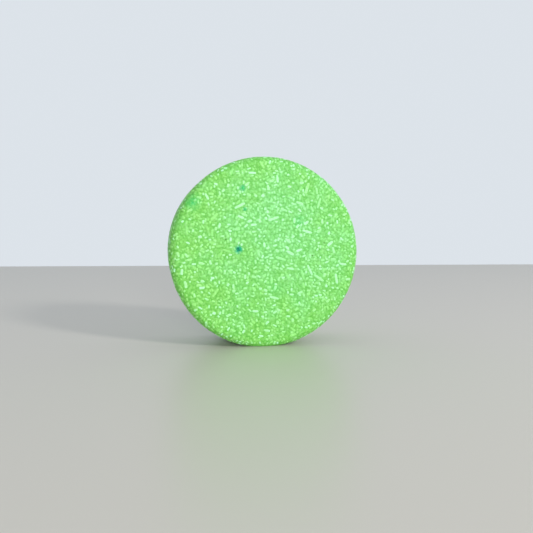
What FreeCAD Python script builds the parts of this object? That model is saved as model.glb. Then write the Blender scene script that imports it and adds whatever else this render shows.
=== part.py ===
"""Pressed soap puck: straight extruded soap needles and a few dye granules in a soft soap binder.

The puck is a round cake with rounded edges. It stands on its rim: its axis lies along Y, its
front face looks to -Y, and Z = 0 is the small worn flat that it stands on. Millimetres, +Z up.

Every needle that breaks the surface is its own solid, cut flush with the puck as pressing leaves
it, and sits in a pocket of the binder. Needles are grouped by the surface they show on and by
length.
"""
import FreeCAD, Part
import math
import os
import random

Vector = FreeCAD.Vector

# Puck
DIAMETER = 62.0
THICKNESS = 24.0
EDGE_RADIUS = 3.0
REST_DEPTH = 0.5                      # how deep the worn flat is set into the rim

RADIUS = DIAMETER / 2
FACE_RADIUS = RADIUS - EDGE_RADIUS    # the flat part of each face
FACE_Y = THICKNESS / 2
CENTRE_HEIGHT = RADIUS - REST_DEPTH
EDGE_RUN = EDGE_RADIUS * math.pi / 2  # length of the rounded edge's profile

# Soap needles
NEEDLE_SPACING = 2.9                  # mean distance between the needles that show
NEEDLE_RADIUS = (0.31, 0.39)
NEEDLE_GAP = 0.08                     # least binder between two needles
STEEPEST = math.radians(55)           # most a needle tips out of the surface
LEAST_SHARE = 0.45                    # share of a needle that must be left once it's cut flush
REST_MARGIN = 1.5                     # no needle shows this close to the resting flat
# length class: (shortest, longest, share of all needles)
LENGTHS = {
    "short": (1.1, 1.5, 0.50),
    "medium": (1.5, 2.3, 0.35),
    "long": (2.3, 3.9, 0.15),
}

# Dye granules on the front face: (radius, distance right of the centre, distance above it)
GRANULES = {
    "dye_granule_large": [(0.75, -9.1, 1.2)],
    "dye_granule_medium": [(0.48, -7.7, 20.7)],
    "dye_granule_small": [(0.34, -7.0, 14.0)],
    "dye_specks_fine": [(0.25, 15.2, -1.0), (0.25, -13.1, 4.5), (0.22, 19.1, 3.1)],
}
GRANULE_DEPTH = 0.3                   # a granule's centre is this share of its radius below the face

BEAD_STEP = 0.25                      # a needle is tested as a row of balls this far apart
CELL = 1.0                            # size of the cells that the balls are sorted into


def puck_envelope():
    """The whole puck as pressed: a round cake with rounded edges and a small flat to stand on."""
    inset = EDGE_RADIUS * (1 - math.sqrt(0.5))
    corner = RADIUS - inset
    front_rim = Vector(RADIUS, -FACE_Y + EDGE_RADIUS, 0)
    back_rim = Vector(RADIUS, FACE_Y - EDGE_RADIUS, 0)
    front_start = Vector(0, -FACE_Y, 0)
    front_end = Vector(FACE_RADIUS, -FACE_Y, 0)
    back_start = Vector(FACE_RADIUS, FACE_Y, 0)
    back_end = Vector(0, FACE_Y, 0)
    outline = Part.Wire([
        Part.makeLine(front_start, front_end),
        Part.Arc(front_end, Vector(corner, -FACE_Y + inset, 0), front_rim).toShape(),
        Part.makeLine(front_rim, back_rim),
        Part.Arc(back_rim, Vector(corner, FACE_Y - inset, 0), back_start).toShape(),
        Part.makeLine(back_start, back_end),
        Part.makeLine(back_end, front_start),
    ])
    cake = Part.Face(outline).revolve(Vector(0, 0, 0), Vector(0, 1, 0), 360)
    cake.translate(Vector(0, 0, CENTRE_HEIGHT))
    below = Part.makeBox(DIAMETER, DIAMETER, DIAMETER, Vector(-RADIUS, -RADIUS, -DIAMETER))
    return cake.cut(below)


def face_point(rng, side):
    """A random point on a face or its rounded edge, as distance from the axis, Y and normal.

    side is -1 for the front and +1 for the back. The normal is (outward, along Y).
    """
    while True:
        run = rng.uniform(0, FACE_RADIUS + EDGE_RUN)
        bend = max(0.0, run - FACE_RADIUS) / EDGE_RADIUS
        distance = min(run, FACE_RADIUS) + EDGE_RADIUS * math.sin(bend)
        if rng.random() < distance / RADIUS:
            y = side * (FACE_Y - EDGE_RADIUS * (1 - math.cos(bend)))
            return distance, y, (math.sin(bend), side * math.cos(bend))


def rim_point(rng):
    """A random point on the straight part of the rim."""
    half_width = FACE_Y - EDGE_RADIUS
    return RADIUS, rng.uniform(-half_width, half_width), (1.0, 0.0)


def random_needle(rng, surface_point):
    """A needle that breaks the surface: (length class, middle, direction, length, radius)."""
    distance, y, (outward, along) = surface_point(rng)
    turn = rng.uniform(0, 2 * math.pi)
    spoke = Vector(math.cos(turn), 0, math.sin(turn))
    tangent = Vector(-math.sin(turn), 0, math.cos(turn))
    normal = spoke * outward + Vector(0, along, 0)
    point = spoke * distance + Vector(0, y, CENTRE_HEIGHT)

    names = list(LENGTHS)
    name = rng.choices(names, [LENGTHS[each][2] for each in names])[0]
    length = rng.uniform(LENGTHS[name][0], LENGTHS[name][1])
    radius = rng.uniform(*NEEDLE_RADIUS)
    tilt = STEEPEST * rng.random() ** 2
    heading = rng.uniform(0, 2 * math.pi)
    flat = tangent * math.cos(heading) + normal.cross(tangent) * math.sin(heading)
    direction = flat * math.cos(tilt) + normal * math.sin(tilt)
    sunk = length / 2 * math.sin(tilt) * rng.uniform(0, 0.8) + radius * rng.uniform(-0.2, 0.4)
    return name, point - normal * sunk, direction, length, radius


def needle_beads(middle, direction, length, radius):
    """The row of balls that stands for a needle when its distance to others is tested."""
    steps = math.ceil(length / BEAD_STEP)
    beads = []
    for step in range(steps + 1):
        spot = middle + direction * (length * (step / steps - 0.5))
        beads.append((spot.x, spot.y, spot.z, radius))
    return beads


def cell_of(bead):
    return tuple(math.floor(value / CELL) for value in bead[:3])


def is_clear(beads, grid):
    """Whether none of the balls comes nearer than NEEDLE_GAP to a ball already in the grid."""
    for x, y, z, radius in beads:
        i, j, k = cell_of((x, y, z))
        for cell in ((i + a, j + b, k + c) for a in (-1, 0, 1) for b in (-1, 0, 1) for c in (-1, 0, 1)):
            for other in grid.get(cell, ()):
                least = radius + other[3] + NEEDLE_GAP
                if (x - other[0]) ** 2 + (y - other[1]) ** 2 + (z - other[2]) ** 2 < least ** 2:
                    return False
    return True


def claim(beads, grid):
    for bead in beads:
        grid.setdefault(cell_of(bead), []).append(bead)


def scatter_needles(rng, envelope, grid, surface_point, area):
    """Needles over one surface: {length class: [(flush needle, whole needle), ...]}."""
    groups = {name: [] for name in LENGTHS}
    wanted = round(area / NEEDLE_SPACING ** 2)
    while wanted > 0:
        name, middle, direction, length, radius = random_needle(rng, surface_point)
        beads = needle_beads(middle, direction, length, radius)
        if min(bead[2] for bead in beads) < REST_MARGIN or not is_clear(beads, grid):
            continue
        start = middle - direction * (length / 2)
        whole = Part.makeCylinder(radius, length, start, direction)
        flush = whole.common(envelope)
        if len(flush.Solids) != 1 or flush.Volume < LEAST_SHARE * whole.Volume:
            continue
        claim(beads, grid)
        groups[name].append((flush.Solids[0], whole))
        wanted -= 1
    return groups


def dye_granules(envelope, grid):
    """The dye granules, flush with the front face: {node: [(flush ball, whole ball), ...]}."""
    nodes = {}
    for node, granules in GRANULES.items():
        nodes[node] = []
        for radius, right, above in granules:
            centre = Vector(right, -FACE_Y + GRANULE_DEPTH * radius, CENTRE_HEIGHT + above)
            whole = Part.makeSphere(radius, centre)
            nodes[node].append((whole.common(envelope).Solids[0], whole))
            claim([(centre.x, centre.y, centre.z, radius)], grid)
    return nodes


def build():
    rng = random.Random(62)
    envelope = puck_envelope()
    grid = {}
    nodes = dye_granules(envelope, grid)

    edge_area = 2 * math.pi * EDGE_RADIUS * (FACE_RADIUS * math.pi / 2 + EDGE_RADIUS)
    face_area = math.pi * FACE_RADIUS ** 2 + edge_area
    rim_area = math.pi * DIAMETER * (THICKNESS - 2 * EDGE_RADIUS)
    surfaces = {
        "front": (lambda source: face_point(source, -1), face_area),
        "rim": (rim_point, rim_area),
        "back": (lambda source: face_point(source, 1), face_area),
    }
    for place, (surface_point, area) in surfaces.items():
        groups = scatter_needles(rng, envelope, grid, surface_point, area)
        for name, needles in groups.items():
            nodes[f"{place}_needles_{name}"] = needles

    wholes = [whole for pieces in nodes.values() for flush, whole in pieces]
    binder = envelope.cut(wholes)

    os.makedirs("parts", exist_ok=True)
    binder.exportStep("parts/soap_binder.step")
    for node, pieces in nodes.items():
        Part.makeCompound([flush for flush, whole in pieces]).exportStep(f"parts/{node}.step")
        print(node, len(pieces))
    print("soap_binder", len(binder.Solids), "solid,", len(binder.Faces), "faces, valid:", binder.isValid())


build()
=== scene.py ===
"""Looks of the pressed soap puck: waxy pale needles and teal dye in a bright green binder.

The puck stands on its rim, its front face to -Y. Lengths are in metres unless a name ends in _mm.
Every needle of the CAD model gets a rounded, slightly uneven needle in its place, and finer
fragments, too small for the CAD, fill the gaps between them.
"""

import math
import random

import bmesh
import bpy
import numpy as np
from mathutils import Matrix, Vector, noise


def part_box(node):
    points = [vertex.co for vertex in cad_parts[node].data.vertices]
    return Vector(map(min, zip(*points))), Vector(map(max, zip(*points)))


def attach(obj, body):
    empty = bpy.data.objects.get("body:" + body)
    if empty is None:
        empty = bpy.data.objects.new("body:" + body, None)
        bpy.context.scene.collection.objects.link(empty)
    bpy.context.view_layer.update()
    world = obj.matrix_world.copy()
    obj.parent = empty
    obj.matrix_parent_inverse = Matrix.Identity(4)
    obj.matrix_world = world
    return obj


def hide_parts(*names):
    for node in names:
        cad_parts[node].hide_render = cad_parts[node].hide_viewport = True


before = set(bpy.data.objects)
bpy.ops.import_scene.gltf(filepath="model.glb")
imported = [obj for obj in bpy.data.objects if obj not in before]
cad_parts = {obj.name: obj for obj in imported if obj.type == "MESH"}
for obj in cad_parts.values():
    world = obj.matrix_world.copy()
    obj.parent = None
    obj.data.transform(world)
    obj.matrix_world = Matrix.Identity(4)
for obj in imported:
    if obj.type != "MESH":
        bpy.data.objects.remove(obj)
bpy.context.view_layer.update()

MM = 0.001
ON_FACE = 0.001 * MM                    # a corner this near to a face's plane lies on it
WELD = 0.0005 * MM                      # corners are matched on a grid as fine as this

# The puck's own sizes, read off the CAD binder
LOW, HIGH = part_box("soap_binder")
RADIUS = (HIGH.x - LOW.x) / 2
FACE_Y = (HIGH.y - LOW.y) / 2
CENTRE = Vector((0, 0, HIGH.z - RADIUS))


def vertex_array(mesh):
    places = np.zeros(len(mesh.vertices) * 3)
    mesh.vertices.foreach_get("co", places)
    return places.reshape(-1, 3)


def measured_face_radius():
    """How far the flat of the front face reaches from the axis."""
    places = vertex_array(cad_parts["soap_binder"].data)
    flat = places[places[:, 1] < LOW.y + ON_FACE]
    return float(np.hypot(flat[:, 0], flat[:, 2] - CENTRE.z).max())


FACE_RADIUS = measured_face_radius()
EDGE_RADIUS = RADIUS - FACE_RADIUS

# Needles
LIFT = 0.10 * MM                        # how far each needle is moved out before it's pressed
PROUD = (0.01 * MM, 0.05 * MM)          # how far its pressed top stands out of the envelope
SWELL = 1.15                            # a pressed needle is this much wider than its core
NEEDLE_RINGS = 7                        # rings of corners along a needle
NEEDLE_SIDES = 10                       # corners around a needle
END_POWER = 0.6                         # the lower these three powers are, the blunter the ends,
WIDTH_POWER = 0.45                      # the fuller the shoulders
SECTION_POWER = 0.65                    # and the squarer the section of a needle
TAPER = 0.12                            # most that a needle narrows towards either end
BEND = 0.15                             # most that a needle bends, as a share of half its thickness
WOBBLE = (0.94, 1.05)                   # how much each of a needle's sides sinks or swells
LONG_SHADES = (1.7, 1.3)                # the two powers of the beta spread of needles' shades:
OTHER_SHADES = (1.1, 1.7)               # long needles are mostly pale, and the others mostly dull

# Fine needle fragments
FRAGMENT_SPACING = 1.55 * MM            # mean distance between them
FRAGMENT_WIDTH = (0.42 * MM, 0.62 * MM)
FRAGMENT_LENGTH = (0.75 * MM, 1.45 * MM)
FRAGMENT_GAP = 0.08 * MM                # least binder between two
FRAGMENT_STEEPEST = math.radians(40)    # most that one tips out of the surface
FRAGMENT_SINK = (0.6, 0.55)             # share of its end's rise and of its thickness that is sunk
TRIES_PER_FRAGMENT = 40
BEAD_STEP = 0.3 * MM                    # distances are tested along rows of balls this far apart
CELL = 1.2 * MM                         # size of the cells that the balls are sorted into
REST_MARGIN = 1.0 * MM                  # no fragment lies this near to the floor

# Binder and dye granules
BINDER_RECESS = 0.04 * MM               # how far the binder lies below the needles
BINDER_STEP = 0.42 * MM                 # distance between its rings of corners
BINDER_SIDES = 420                      # corners around it
BINDER_WAVES = [(0.05 * MM, 6 * MM), (0.035 * MM, 1.1 * MM)]    # height and width of its waves
GRANULE_SWELL = 1.15                    # a granule has spread this much as it took up water
GRANULE_LIFT = 0.12 * MM                # how far it is moved out before it's pressed
GRANULE_PROUD = 0.12 * MM               # most that it stands out of the face
GRANULE_LUMPS = (0.22, 1.7)             # height and fineness of its lumps, against its radius

# Dye that has bled into the soap around a granule
STAIN_CORE = 0.55                       # share of its reach where the stain is at full strength
# (node, reach, strength)
STAINS = [
    ("dye_granule_large", 1.75 * MM, 0.95),
    ("dye_granule_medium", 1.3 * MM, 0.6),
    ("dye_granule_small", 0.9 * MM, 0.5),
]
# Faint patches of the same dye on the front face: (right of its centre, above it, reach, strength)
PATCHES = [
    (-23.6 * MM, 16.3 * MM, 3.6 * MM, 0.8),
    (10.5 * MM, 10.2 * MM, 2.6 * MM, 0.45),
    (2.4 * MM, -11.7 * MM, 3.6 * MM, 0.3),
]


def rgb(red, green, blue):
    return (red, green, blue, 1.0)


# Colours
NEEDLE_DULL = rgb(0.175, 0.56, 0.115)
NEEDLE_GREEN = rgb(0.31, 0.76, 0.25)
NEEDLE_PALE = rgb(0.43, 0.88, 0.51)
BINDER_DEEP = rgb(0.115, 0.455, 0.07)
BINDER_GREEN = rgb(0.19, 0.57, 0.13)
BINDER_BLOB = rgb(0.35, 0.77, 0.30)
# The lime tint also carries painted shade: it is a little darker, for the outside of the faces
LIME_TINT_AND_EDGE_SHADE = rgb(0.96, 0.96, 0.78)
MINT_TINT = rgb(1.0, 1.02, 1.25)
GRANULE_STAIN = rgb(0.005, 0.38, 0.18)
PATCH_STAIN = rgb(0.045, 0.49, 0.13)
PURE_DYE = (rgb(0.0, 0.13, 0.085), rgb(0.005, 0.30, 0.15))
SOAPY_DYE = (rgb(0.045, 0.46, 0.11), rgb(0.07, 0.55, 0.17))
DULL_DYE = (rgb(0.07, 0.27, 0.04), rgb(0.1, 0.34, 0.06))
FLOOR = rgb(0.60, 0.575, 0.52)
ROOM_BEFORE = rgb(0.36, 0.38, 0.41)
ROOM_BEYOND = rgb(0.72, 0.77, 0.82)

# Lights and camera
LIGHT_DISTANCE = 0.9
CAMERA_DISTANCE = 0.20


# ---------------------------------------------------------------- shape of the envelope

def envelope_normal(points):
    """(signed height above the rounded cake, outward normal) for an array of points."""
    spoke = points - np.array(CENTRE)
    y = spoke[:, 1].copy()
    spoke[:, 1] = 0
    distance = np.linalg.norm(spoke, axis=1)
    spoke /= np.maximum(distance, 1e-9)[:, None]
    out = distance - FACE_RADIUS
    along = np.abs(y) - (FACE_Y - EDGE_RADIUS)
    corner = np.stack([np.maximum(out, 0), np.maximum(along, 0)], axis=1)
    reach = np.linalg.norm(corner, axis=1)
    on_edge = reach > 1e-9
    height = np.where(on_edge, reach, np.maximum(out, along)) - EDGE_RADIUS
    flat_out = (out > along).astype(float)
    share = np.where(on_edge[:, None], corner / np.maximum(reach, 1e-9)[:, None],
                     np.stack([flat_out, 1 - flat_out], axis=1))
    normal = spoke * share[:, :1]
    normal[:, 1] = np.sign(y) * share[:, 1]
    return height, normal


def surface_point(rng):
    """A random point on the envelope, even by area."""
    edge_run = EDGE_RADIUS * math.pi / 2
    half_rim = FACE_Y - EDGE_RADIUS
    while True:
        run = rng.uniform(0, FACE_RADIUS + edge_run + half_rim)
        bend = min(max(0.0, run - FACE_RADIUS), edge_run) / EDGE_RADIUS
        distance = min(run, FACE_RADIUS) + EDGE_RADIUS * math.sin(bend)
        if rng.random() < distance / RADIUS:
            y = FACE_Y - EDGE_RADIUS * (1 - math.cos(bend)) - max(0.0, run - FACE_RADIUS - edge_run)
            turn = rng.uniform(0, 2 * math.pi)
            side = rng.choice((-1, 1))
            return CENTRE + Vector((distance * math.cos(turn), side * y, distance * math.sin(turn)))


# ---------------------------------------------------------------- needles

def loose_parts(node):
    """The corner points of each separate solid of a CAD node."""
    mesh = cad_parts[node].data
    places = vertex_array(mesh)
    keys, same = np.unique(np.round(places / WELD), axis=0, return_inverse=True)
    same = same.ravel()
    edges = np.zeros(len(mesh.edges) * 2, int)
    mesh.edges.foreach_get("vertices", edges)
    ends = same[edges.reshape(-1, 2)]
    label = np.arange(len(keys))
    while True:
        lowest = np.minimum(label[ends[:, 0]], label[ends[:, 1]])
        spread = label.copy()
        np.minimum.at(spread, ends[:, 0], lowest)
        np.minimum.at(spread, ends[:, 1], lowest)
        if (spread == label).all():
            break
        label = spread
    groups = label[same]
    order = np.argsort(groups, kind="stable")
    cuts = np.flatnonzero(np.diff(groups[order])) + 1
    return [places[part] for part in np.split(order, cuts)]


def fitted_block(points):
    """(middle, axes as rows, half sizes) of the block that just holds the points, longest first."""
    middle = points.mean(axis=0)
    axes = np.linalg.svd(points - middle, full_matrices=False)[2]
    spans = (points - middle) @ axes.T
    low, high = spans.min(axis=0), spans.max(axis=0)
    return middle + (low + high) / 2 @ axes, axes, (high - low) / 2


def powered(value, power):
    """The value's size raised to the power, with its own sign."""
    return math.copysign(abs(value) ** power, value)


def needle_template():
    """Corners and faces of a unit needle along X with flattened, rounded ends."""
    corners = []
    for ring in range(NEEDLE_RINGS):
        polar = math.pi * (ring + 0.5) / NEEDLE_RINGS
        along = -powered(math.cos(polar), END_POWER)
        width = math.sin(polar) ** WIDTH_POWER
        for side in range(NEEDLE_SIDES):
            turn = 2 * math.pi * side / NEEDLE_SIDES
            across = width * powered(math.cos(turn), SECTION_POWER)
            corners.append((along, across, width * powered(math.sin(turn), SECTION_POWER)))
    corners += [(-1, 0, 0), (1, 0, 0)]
    faces = []
    for ring in range(NEEDLE_RINGS - 1):
        for side in range(NEEDLE_SIDES):
            a = ring * NEEDLE_SIDES + side
            b = ring * NEEDLE_SIDES + (side + 1) % NEEDLE_SIDES
            faces.append((a, b, b + NEEDLE_SIDES, a + NEEDLE_SIDES))
    last = (NEEDLE_RINGS - 1) * NEEDLE_SIDES
    for side in range(NEEDLE_SIDES):
        following = (side + 1) % NEEDLE_SIDES
        faces.append((following, side, len(corners) - 2))
        faces.append((last + side, last + following, len(corners) - 1))
    return np.array(corners, float), faces


TEMPLATE, TEMPLATE_FACES = needle_template()


def needle_corners(rng, middle, axes, halves):
    """One needle's corners: a rounded, slightly bent and uneven rod that fills the given block."""
    unit = TEMPLATE.copy()
    taper = 1 + rng.uniform(-TAPER, TAPER) * unit[:, 0]
    unit[:, 1] *= taper
    unit[:, 2] *= taper
    unit[:, 1] += rng.uniform(-BEND, BEND) * (unit[:, 0] ** 2 - 0.4)
    wobble = np.array([rng.uniform(*WOBBLE) for _ in range(NEEDLE_SIDES)])
    unit[:-2, 1:] *= np.tile(wobble, NEEDLE_RINGS)[:, None]
    return middle + (unit * halves * (1, SWELL, SWELL)) @ axes


def mesh_piece(name, corners, faces, material):
    mesh = bpy.data.meshes.new(name)
    mesh.from_pydata([tuple(corner) for corner in corners], [], faces)
    mesh.materials.append(material)
    mesh.polygons.foreach_set("use_smooth", [True] * len(mesh.polygons))
    mesh.update()
    piece = bpy.data.objects.new(name, mesh)
    bpy.context.scene.collection.objects.link(piece)
    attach(piece, "root")
    return piece


def needles_piece(name, rng, blocks, material):
    """One piece holding a needle for each block, each with its own shade from 0, dull, to 1, pale.

    The long needles are the palest, because the binder has soaked into them least.
    """
    spread = LONG_SHADES if name.endswith("long") else OTHER_SHADES
    middles = np.array([block[0] for block in blocks])
    lifts = envelope_normal(middles)[1] * LIFT
    corners, faces, shades = [], [], []
    for number, (middle, axes, halves) in enumerate(blocks):
        placed = needle_corners(rng, middle + lifts[number], axes, halves)
        height, normal = envelope_normal(placed)
        pressed = np.maximum(height - rng.uniform(*PROUD), 0)
        corners.append(placed - normal * pressed[:, None])
        first = number * len(TEMPLATE)
        faces += [tuple(first + corner for corner in face) for face in TEMPLATE_FACES]
        shades += [rng.betavariate(*spread)] * len(TEMPLATE)
    piece = mesh_piece(name, np.concatenate(corners), faces, material)
    shade = piece.data.attributes.new("shade", "FLOAT", "POINT")
    shade.data.foreach_set("value", shades)
    return piece


def block_beads(middle, axes, halves):
    """Points along a block's long axis, with the radius of a ball that holds it there."""
    steps = max(2, math.ceil(2 * halves[0] / BEAD_STEP))
    radius = (halves[1] + halves[2]) / 2
    reach = max(0.0, halves[0] - 0.6 * radius)
    beads = []
    for step in range(steps + 1):
        spot = middle + axes[0] * reach * (2 * step / steps - 1)
        beads.append((*spot, radius))
    return beads


def cell_of(bead):
    return tuple(math.floor(value / CELL) for value in bead[:3])


def is_clear(beads, grid):
    for x, y, z, radius in beads:
        i, j, k = cell_of((x, y, z))
        for cell in ((i + a, j + b, k + c) for a in (-1, 0, 1) for b in (-1, 0, 1) for c in (-1, 0, 1)):
            for other in grid.get(cell, ()):
                least = radius + other[3] + FRAGMENT_GAP
                if (x - other[0]) ** 2 + (y - other[1]) ** 2 + (z - other[2]) ** 2 < least ** 2:
                    return False
    return True


def claim(beads, grid):
    for bead in beads:
        grid.setdefault(cell_of(bead), []).append(bead)


def fragment_block(rng, point):
    """The block of a fragment that lies at a point of the surface, mostly along it."""
    normal = envelope_normal(point[None])[1][0]
    helper = np.array([rng.gauss(0, 1) for _ in range(3)])
    flat = np.cross(normal, helper)
    flat /= np.linalg.norm(flat)
    tilt = FRAGMENT_STEEPEST * rng.random() ** 2
    axis = flat * math.cos(tilt) + normal * math.sin(tilt)
    across = np.cross(axis, flat if tilt > 0.05 else normal)
    across /= np.linalg.norm(across)
    axes = np.array([axis, across, np.cross(axis, across)])
    half_width = rng.uniform(*FRAGMENT_WIDTH) / 2
    halves = np.array([rng.uniform(*FRAGMENT_LENGTH) / 2, half_width, half_width])
    sunk = halves[0] * math.sin(tilt) * FRAGMENT_SINK[0] + half_width * FRAGMENT_SINK[1]
    return point - normal * sunk, axes, halves


def fragment_blocks(rng, grid):
    """Blocks for the fine needle fragments that fill the gaps between the CAD needles."""
    area = 2 * math.pi * (FACE_RADIUS ** 2 + 2 * RADIUS * FACE_Y)
    wanted = round(area / FRAGMENT_SPACING ** 2)
    blocks = []
    for _ in range(TRIES_PER_FRAGMENT * wanted):
        if len(blocks) == wanted:
            break
        point = np.array(surface_point(rng))
        if point[2] < REST_MARGIN:
            continue
        block = fragment_block(rng, point)
        beads = block_beads(*block)
        if is_clear(beads, grid):
            claim(beads, grid)
            blocks.append(block)
    return blocks


def side_of(y):
    """Which side of the cake a place with this Y is on."""
    if abs(y) < FACE_Y - EDGE_RADIUS:
        return "rim"
    return "front" if y < 0 else "back"


def build_needles(material):
    rng = random.Random(7)
    grid = {}
    for node in sorted(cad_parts):
        if "needles" not in node:
            continue
        blocks = [fitted_block(points) for points in loose_parts(node)]
        for block in blocks:
            claim(block_beads(*block), grid)
        piece = needles_piece(node.replace("needles", "soap_needles"), rng, blocks, material)
        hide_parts(node)
    sides = {"front": [], "rim": [], "back": []}
    for block in fragment_blocks(rng, grid):
        sides[side_of(block[0][1])].append(block)
    for side, blocks in sides.items():
        needles_piece(f"fine_needles_{side}", rng, blocks, material)


# ---------------------------------------------------------------- binder and dye

def binder_profile():
    """Distance from the axis and Y along the cake's profile, from the front centre to the back."""
    profile = []
    rings = round(FACE_RADIUS / BINDER_STEP)
    for ring in range(1, rings + 1):
        profile.append((FACE_RADIUS * ring / rings, -FACE_Y))
    bends = round(EDGE_RADIUS * math.pi / 2 / BINDER_STEP)
    for bend in range(1, bends + 1):
        turn = math.pi / 2 * bend / bends
        profile.append((FACE_RADIUS + EDGE_RADIUS * math.sin(turn),
                        -FACE_Y + EDGE_RADIUS * (1 - math.cos(turn))))
    half_rim = FACE_Y - EDGE_RADIUS
    rows = round(2 * half_rim / BINDER_STEP)
    rim = [(RADIUS, -half_rim + 2 * half_rim * row / rows) for row in range(1, rows)]
    return profile + rim + [(distance, -y) for distance, y in reversed(profile)]


def turned_faces(rows):
    """Faces over rings of BINDER_SIDES corners each, with one corner before them and one after."""
    faces = []
    for side in range(BINDER_SIDES):
        faces.append((0, 1 + side, 1 + (side + 1) % BINDER_SIDES))
    for row in range(rows - 1):
        for side in range(BINDER_SIDES):
            a = 1 + row * BINDER_SIDES + side
            b = 1 + row * BINDER_SIDES + (side + 1) % BINDER_SIDES
            faces.append((a, a + BINDER_SIDES, b + BINDER_SIDES, b))
    last = 1 + (rows - 1) * BINDER_SIDES
    end = last + BINDER_SIDES
    for side in range(BINDER_SIDES):
        faces.append((end, last + (side + 1) % BINDER_SIDES, last + side))
    return faces


def build_binder(material):
    """The soft binder: the envelope set back a little, with slight undulation and fine pits."""
    profile = binder_profile()
    corners = [(0, -FACE_Y, CENTRE.z)]
    for distance, y in profile:
        for side in range(BINDER_SIDES):
            turn = 2 * math.pi * side / BINDER_SIDES
            corners.append((distance * math.cos(turn), y, CENTRE.z + distance * math.sin(turn)))
    corners.append((0, FACE_Y, CENTRE.z))
    places = np.array(corners)
    normals = envelope_normal(places)[1]
    swell = np.array([
        sum(height * noise.noise(Vector(place) / width) for height, width in BINDER_WAVES)
        for place in places
    ])
    places += normals * (swell - BINDER_RECESS)[:, None]
    places[:, 2] = np.maximum(places[:, 2], 0)
    piece = mesh_piece("binder", places, turned_faces(len(profile)), material)
    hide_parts("soap_binder")


def granule_lump(middle, axes, halves):
    """(corners, faces) of an irregular lump in the given block, pressed almost flush."""
    shape = bmesh.new()
    bmesh.ops.create_icosphere(shape, subdivisions=3, radius=1)
    height, fineness = GRANULE_LUMPS
    lumps = np.array([
        corner.co * (1 + height * noise.noise(corner.co * fineness + Vector(middle) / MM))
        for corner in shape.verts
    ])
    faces = [tuple(corner.index for corner in face.verts) for face in shape.faces]
    shape.free()
    lifted = middle + envelope_normal(middle[None])[1][0] * GRANULE_LIFT
    placed = lifted + (lumps * halves * GRANULE_SWELL) @ axes
    out, normal = envelope_normal(placed)
    pressed = np.maximum(out - GRANULE_PROUD, 0)
    return placed - normal * pressed[:, None], faces


def build_dye():
    """A lump for each granule: the large one is pure dye, the two smaller ones are mixed with soap."""
    soapy = dye_material("soapy dye", *SOAPY_DYE)
    materials = {
        "dye_granule_large": dye_material("pure dye", *PURE_DYE),
        "dye_granule_medium": soapy,
        "dye_granule_small": soapy,
        "dye_specks_fine": dye_material("dull dye", *DULL_DYE),
    }
    for node, material in materials.items():
        corners, faces = [], []
        for points in loose_parts(node):
            lump_corners, lump_faces = granule_lump(*fitted_block(points))
            first = len(corners)
            corners += list(lump_corners)
            faces += [tuple(first + corner for corner in face) for face in lump_faces]
        piece = mesh_piece(node.replace("dye", "teal_dye"), corners, faces, material)
        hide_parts(node)


# ---------------------------------------------------------------- materials

class Nodes:
    """A short way to write a material's nodes."""

    def __init__(self, name):
        self.material = bpy.data.materials.new(name)
        self.material.use_nodes = True
        self.tree = self.material.node_tree
        self.shader = self.tree.nodes["Principled BSDF"]

    def add(self, kind, inputs=None, **settings):
        node = self.tree.nodes.new(kind)
        for name, value in settings.items():
            setattr(node, name, value)
        for name, value in (inputs or {}).items():
            self.put(node.inputs[name], value)
        return node

    def put(self, socket, value):
        if isinstance(value, bpy.types.NodeSocket):
            self.tree.links.new(value, socket)
        else:
            socket.default_value = value

    def place(self):
        return self.add("ShaderNodeNewGeometry").outputs["Position"]

    def away(self, place, middle):
        """Distance from a fixed point."""
        ends = {0: place, 1: tuple(middle)}
        return self.add("ShaderNodeVectorMath", ends, operation="DISTANCE").outputs["Value"]

    def sum(self, first, second, clamp=False):
        return self.add("ShaderNodeMath", {0: first, 1: second}, use_clamp=clamp).outputs[0]

    def product(self, first, second, clamp=False):
        terms = {0: first, 1: second}
        return self.add("ShaderNodeMath", terms, operation="MULTIPLY", use_clamp=clamp).outputs[0]

    def noise(self, scale_mm, detail=2.0):
        """Noise with features about scale_mm across, from 0 to 1."""
        settings = {"Vector": self.place(), "Scale": 1 / (scale_mm * MM), "Detail": detail}
        return self.add("ShaderNodeTexNoise", settings).outputs["Fac"]

    def remap(self, value, low, high, to_low=0.0, to_high=1.0):
        ranges = {"From Min": low, "From Max": high, "To Min": to_low, "To Max": to_high}
        return self.add("ShaderNodeMapRange", {"Value": value, **ranges}).outputs["Result"]

    def mix(self, share, first, second, blend="MIX"):
        node = self.add("ShaderNodeMix", data_type="RGBA", blend_type=blend)
        self.put(node.inputs["Factor"], share)
        self.put(node.inputs["A"], first)
        self.put(node.inputs["B"], second)
        return node.outputs["Result"]


def wax(nodes, scatter):
    """Settings that every soap material shares: soft scattering and a waxy shine."""
    shader = nodes.shader
    shader.inputs["Subsurface Weight"].default_value = scatter
    shader.inputs["Subsurface Radius"].default_value = (0.5, 1.0, 0.35)
    shader.inputs["Subsurface Scale"].default_value = 0.6 * MM
    shader.inputs["IOR"].default_value = 1.46
    shader.inputs["Specular IOR Level"].default_value = 0.2


def stained(nodes, colour, middle, full, reach, strength, stain):
    """The colour with a ragged stain round a point: even as far as full, then fading out to reach."""
    fading = nodes.remap(nodes.away(nodes.place(), middle), full, reach, strength, 0.0)
    ragged = nodes.remap(nodes.noise(0.9), 0.35, 0.65, 0.5, 1.2)
    return nodes.mix(nodes.product(fading, ragged, clamp=True), colour, stain)


def bled(nodes, colour):
    """The colour with the teal dye that has bled out around each granule."""
    for node, reach, strength in STAINS:
        low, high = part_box(node)
        middle = (low + high) / 2
        colour = stained(nodes, colour, middle, STAIN_CORE * reach, reach, strength, GRANULE_STAIN)
    return colour


def patchy(nodes, colour):
    """The colour with a few faint patches of the same dye on the front face."""
    for right, above, reach, strength in PATCHES:
        middle = CENTRE + Vector((right, -FACE_Y, above))
        colour = stained(nodes, colour, middle, 0.0, reach, strength, PATCH_STAIN)
    return colour


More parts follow.
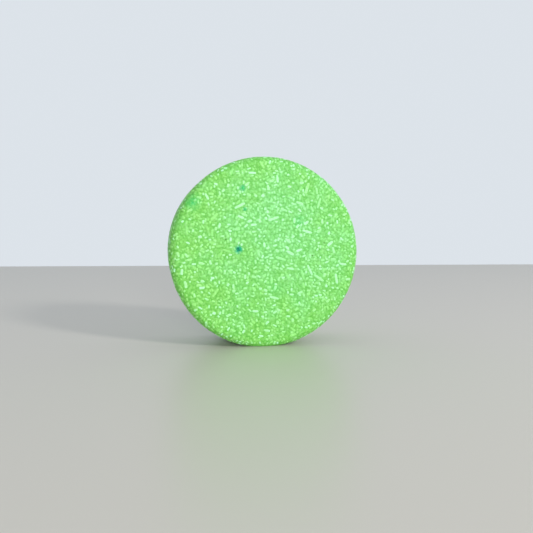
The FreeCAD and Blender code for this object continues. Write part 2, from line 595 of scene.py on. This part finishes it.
def tinted_and_edge_shaded(nodes, colour):
    """The colour made mintier round the middle of the faces, and limier and a little deeper outside:
    the darker outside is painted shade standing in for the shade of the rounded edges, and a noise
    cloud adds real uneven tint.
    """
    terms = {0: nodes.place(), 1: (1, 0, 1)}
    level = nodes.add("ShaderNodeVectorMath", terms, operation="MULTIPLY").outputs[0]
    middle = CENTRE + Vector((6 * MM, 0, 6 * MM))
    # Painted shade: limier and a little darker with distance from a point right of and above the axis,
    # as if the rounded edges were in shade
    mint = nodes.remap(nodes.away(level, middle), 8 * MM, 34 * MM, 1.0, 0.0)
    cloud = nodes.remap(nodes.noise(7.0), 0.3, 0.7, -0.35, 0.35)
    tint_and_edge_shade = nodes.mix(nodes.sum(mint, cloud, clamp=True), LIME_TINT_AND_EDGE_SHADE, MINT_TINT)
    return nodes.mix(1.0, colour, tint_and_edge_shade, blend="MULTIPLY")


def needle_material():
    """Needles from a dull green, through a soft green, to a pale mint, each in its own shade."""
    nodes = Nodes("soap needles")
    own = nodes.add("ShaderNodeAttribute", attribute_name="shade").outputs["Fac"]
    uneven = nodes.remap(nodes.noise(0.6), 0.3, 0.7, -0.15, 0.15)
    shade = nodes.sum(own, uneven)
    green = nodes.mix(nodes.remap(shade, 0.0, 0.45), NEEDLE_DULL, NEEDLE_GREEN)
    # painted shade darker towards the edges of the faces, then real patches of dye
    green = patchy(nodes, tinted_and_edge_shaded(nodes, green))
    colour = nodes.mix(nodes.remap(shade, 0.45, 0.95), green, NEEDLE_PALE)
    nodes.put(nodes.shader.inputs["Base Color"], bled(nodes, colour))
    nodes.put(nodes.shader.inputs["Roughness"], nodes.remap(nodes.noise(0.8), 0.3, 0.7, 0.34, 0.5))
    wax(nodes, 0.15)
    return nodes.material


def binder_material():
    """Binder: a dark, finely mottled network between pale blobs, which are needles just below."""
    nodes = Nodes("green binder")
    settings = {"Vector": nodes.place(), "Scale": 1 / (0.95 * MM)}
    cells = nodes.add("ShaderNodeTexVoronoi", settings, feature="F1")
    blob = nodes.remap(cells.outputs["Distance"], 0.15, 0.6, 1.0, 0.0)
    tone = nodes.add("ShaderNodeSeparateColor", {"Color": cells.outputs["Color"]}).outputs["Red"]
    mottle = nodes.remap(nodes.noise(0.55, 1.0), 0.36, 0.64)
    network = nodes.mix(mottle, BINDER_DEEP, BINDER_GREEN)
    colour = nodes.mix(nodes.product(blob, tone), network, BINDER_BLOB)
    # painted shade darker towards the edges of the faces, then real patches and stains of dye
    nodes.put(nodes.shader.inputs["Base Color"], bled(nodes, patchy(nodes, tinted_and_edge_shaded(nodes, colour))))
    nodes.put(nodes.shader.inputs["Roughness"], nodes.remap(nodes.noise(0.9), 0.3, 0.7, 0.45, 0.65))
    pits = {"Strength": 0.5, "Distance": 0.06 * MM, "Height": nodes.noise(0.45, 3.0)}
    nodes.put(nodes.shader.inputs["Normal"], nodes.add("ShaderNodeBump", pits).outputs["Normal"])
    wax(nodes, 0.15)
    return nodes.material


def dye_material(name, deep, light):
    nodes = Nodes(name)
    patch = nodes.remap(nodes.noise(0.7), 0.4, 0.6)
    nodes.put(nodes.shader.inputs["Base Color"], nodes.mix(patch, deep, light))
    nodes.shader.inputs["Roughness"].default_value = 0.5
    nodes.shader.inputs["Specular IOR Level"].default_value = 0.15
    return nodes.material


# ---------------------------------------------------------------- stage

def towards(azimuth, elevation):
    """Direction from the puck to a place round it: azimuth 0 is in front, degrees."""
    turn, rise = math.radians(azimuth), math.radians(elevation)
    return Vector((math.sin(turn) * math.cos(rise), -math.cos(turn) * math.cos(rise), math.sin(rise)))


def build_floor():
    bpy.ops.mesh.primitive_plane_add(size=1)
    floor = bpy.context.object
    floor.name = "floor"
    floor.scale = (1.4, 1.06, 1)
    floor.location = (0, -0.2, 0)
    floor.rotation_euler.z = math.radians(-7)
    nodes = Nodes("pale floor")
    nodes.shader.inputs["Base Color"].default_value = FLOOR
    nodes.shader.inputs["Roughness"].default_value = 0.36
    floor.data.materials.append(nodes.material)


def area_light(name, azimuth, elevation, size, power, colour):
    """A round soft light at LIGHT_DISTANCE from the puck, turned to it."""
    data = bpy.data.lights.new(name, "AREA")
    data.shape = "DISK"
    data.size = size
    data.energy = power
    data.color = colour
    light = bpy.data.objects.new(name, data)
    back = towards(azimuth, elevation)
    light.location = CENTRE + back * LIGHT_DISTANCE
    light.rotation_euler = back.to_track_quat("Z", "Y").to_euler()
    bpy.context.scene.collection.objects.link(light)


def build_lights():
    area_light("front light", 0, 8, 0.30, 5.3, (1.0, 0.99, 0.97))
    area_light("side light", 42, 27, 0.14, 3.6, (1.0, 0.98, 0.95))


def build_room():
    """A pale room around the scene, brightest beyond the puck's back."""
    world = bpy.data.worlds.new("pale room")
    world.use_nodes = True
    nodes, links = world.node_tree.nodes, world.node_tree.links
    sight = nodes.new("ShaderNodeTexCoord")
    parts = nodes.new("ShaderNodeSeparateXYZ")
    ramp = nodes.new("ShaderNodeMapRange")
    blend = nodes.new("ShaderNodeMix")
    blend.data_type = "RGBA"
    ramp.inputs["From Min"].default_value = -0.3
    ramp.inputs["From Max"].default_value = 0.7
    blend.inputs["A"].default_value = ROOM_BEFORE
    blend.inputs["B"].default_value = ROOM_BEYOND
    links.new(sight.outputs["Generated"], parts.inputs[0])
    links.new(parts.outputs["Y"], ramp.inputs["Value"])
    links.new(ramp.outputs["Result"], blend.inputs["Factor"])
    links.new(blend.outputs["Result"], nodes["Background"].inputs["Color"])
    bpy.context.scene.world = world
    bpy.context.scene.view_settings.view_transform = "Standard"


def build_camera():
    """Close to the puck, a little to its left and above its middle."""
    data = bpy.data.cameras.new("camera")
    data.lens = 39.6
    data.sensor_width = 36
    data.clip_start = 0.01
    data.shift_x = 0.012
    data.shift_y = -0.029
    camera = bpy.data.objects.new("camera", data)
    back = towards(-10, 3)
    camera.location = CENTRE + back * CAMERA_DISTANCE
    camera.rotation_euler = back.to_track_quat("Z", "Y").to_euler()
    bpy.context.scene.collection.objects.link(camera)
    bpy.context.scene.camera = camera


build_needles(needle_material())
build_binder(binder_material())
build_dye()
build_floor()
build_lights()
build_room()
build_camera()
